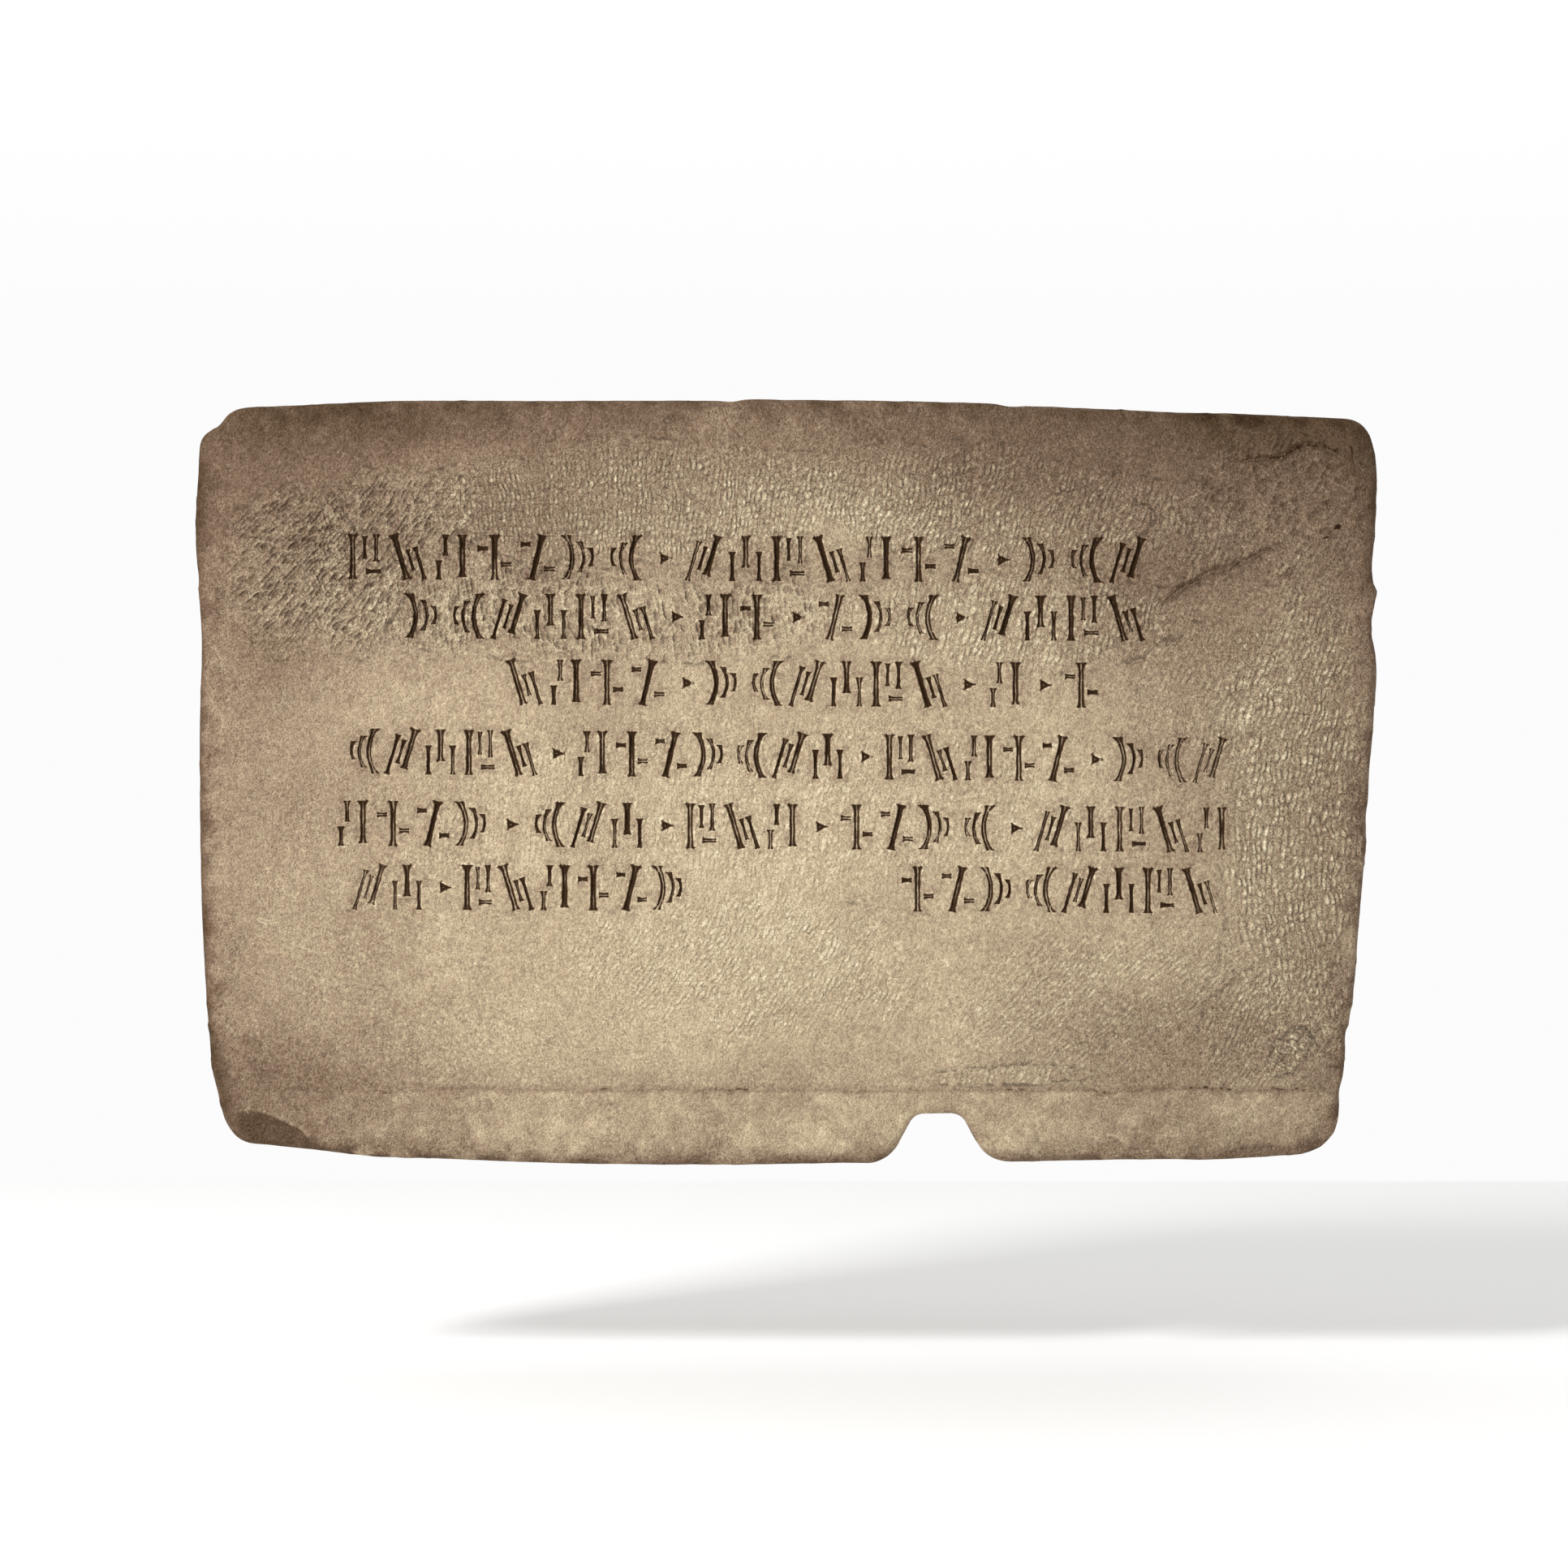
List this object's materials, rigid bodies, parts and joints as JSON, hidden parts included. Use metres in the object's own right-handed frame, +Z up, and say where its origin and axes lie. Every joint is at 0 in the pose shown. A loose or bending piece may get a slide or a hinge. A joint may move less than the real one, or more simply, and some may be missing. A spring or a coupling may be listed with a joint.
{
  "type": "carved funerary slab",
  "caption": "Wide worn stone slab with rounded edges, a flared notch through its lower edge and rows of shallow carved strokes, made to be set in a wall.",
  "frame": {"origin": "on the flat back, at the middle of the slab's width and height", "axes": "+X to the right seen from the front, +Z up, +Y out of the back and into the wall, so the carved front faces -Y"},
  "size_m": [0.8292, 0.07, 0.5375],
  "materials": {
    "warm_beige_stone": "matt, claw chiselled and worn, with grey brown patina along the edges"
  },
  "bodies": {
    "root": {"slab": "warm_beige_stone"}
  },
  "joints": []
}
